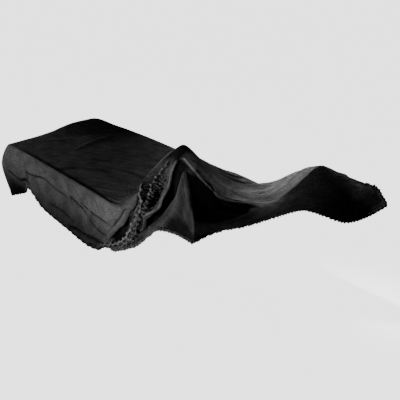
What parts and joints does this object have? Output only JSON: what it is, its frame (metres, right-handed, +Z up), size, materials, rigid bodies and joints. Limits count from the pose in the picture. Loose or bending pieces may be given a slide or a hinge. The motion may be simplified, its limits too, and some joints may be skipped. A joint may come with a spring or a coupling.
{
  "type": "keyboard dust cover",
  "caption": "Black stretch-knit dust cover for a keyboard instrument, shown half pulled off with its near side pleated up and its far right corner raised.",
  "frame": {"origin": "under the fitted top panel, where the thing that it covers holds it up: 250 mm from the cover's left end, half-way across", "axes": "+X along the length towards the raised right end, +Y towards the far side, +Z up"},
  "size_m": [0.8227, 0.3185, 0.234],
  "materials": {
    "cloth": "matt black stretch knit"
  },
  "bodies": {
    "root": {"cover_cloth": "cloth"}
  },
  "joints": []
}
